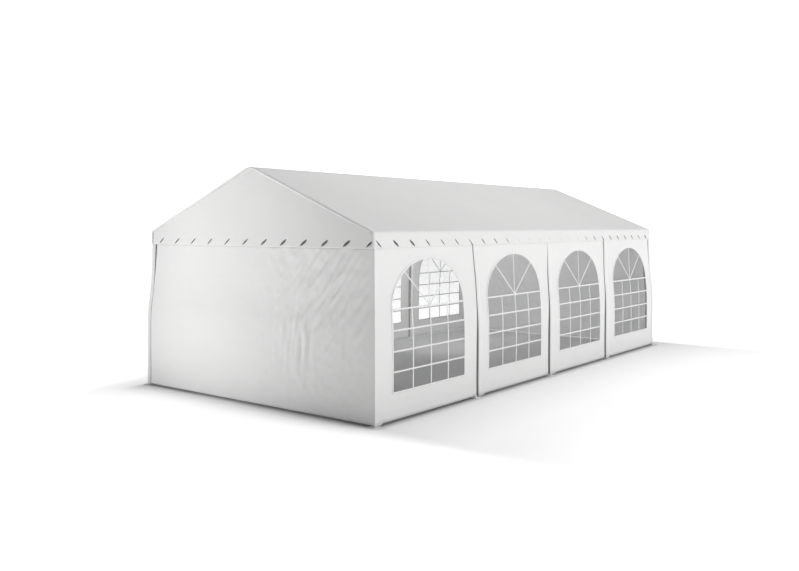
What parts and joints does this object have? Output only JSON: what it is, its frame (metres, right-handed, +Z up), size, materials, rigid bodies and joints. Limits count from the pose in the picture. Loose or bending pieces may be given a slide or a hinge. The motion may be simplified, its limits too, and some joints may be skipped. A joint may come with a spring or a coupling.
{
  "type": "marquee tent",
  "caption": "Long gabled marquee tent: a white fabric roof cover laced to straight fabric walls with arched clear windows, on a steel tube frame with flat foot plates.",
  "frame": {"origin": "on the ground, in the middle of the tent's footprint", "axes": "+X along the ridge towards the back gable, +Y across the tent towards the right long wall, +Z up"},
  "size_m": [8.1614, 4.1614, 2.92],
  "materials": {
    "roof_fabric": "white coated fabric, soft sheen",
    "wall_fabric": "white coated fabric, soft sheen",
    "window_foil": "clear grey foil, slightly wavy",
    "frame_paint": "white powder coat"
  },
  "bodies": {
    "root": {"roof_gable_front": "roof_fabric", "gable_wall_front": "wall_fabric", "roof_gable_back": "roof_fabric", "gable_wall_back": "wall_fabric", "ridge_tube": "frame_paint", "roof_slope_left": "roof_fabric", "eave_tube_left": "frame_paint", "side_wall_left_1": "wall_fabric", "window_left_1": "window_foil", "side_wall_left_2": "wall_fabric", "window_left_2": "window_foil", "side_wall_left_3": "wall_fabric", "window_left_3": "window_foil", "side_wall_left_4": "wall_fabric", "window_left_4": "window_foil", "leg_left_1": "frame_paint", "rafter_left_1": "frame_paint", "leg_left_2": "frame_paint", "rafter_left_2": "frame_paint", "leg_left_3": "frame_paint", "rafter_left_3": "frame_paint", "leg_left_4": "frame_paint", "rafter_left_4": "frame_paint", "leg_left_5": "frame_paint", "rafter_left_5": "frame_paint", "roof_slope_right": "roof_fabric", "eave_tube_right": "frame_paint", "side_wall_right_1": "wall_fabric", "window_right_1": "window_foil", "side_wall_right_2": "wall_fabric", "window_right_2": "window_foil", "side_wall_right_3": "wall_fabric", "window_right_3": "window_foil", "side_wall_right_4": "wall_fabric", "window_right_4": "window_foil", "leg_right_1": "frame_paint", "rafter_right_1": "frame_paint", "leg_right_2": "frame_paint", "rafter_right_2": "frame_paint", "leg_right_3": "frame_paint", "rafter_right_3": "frame_paint", "leg_right_4": "frame_paint", "rafter_right_4": "frame_paint", "leg_right_5": "frame_paint", "rafter_right_5": "frame_paint"}
  },
  "joints": []
}
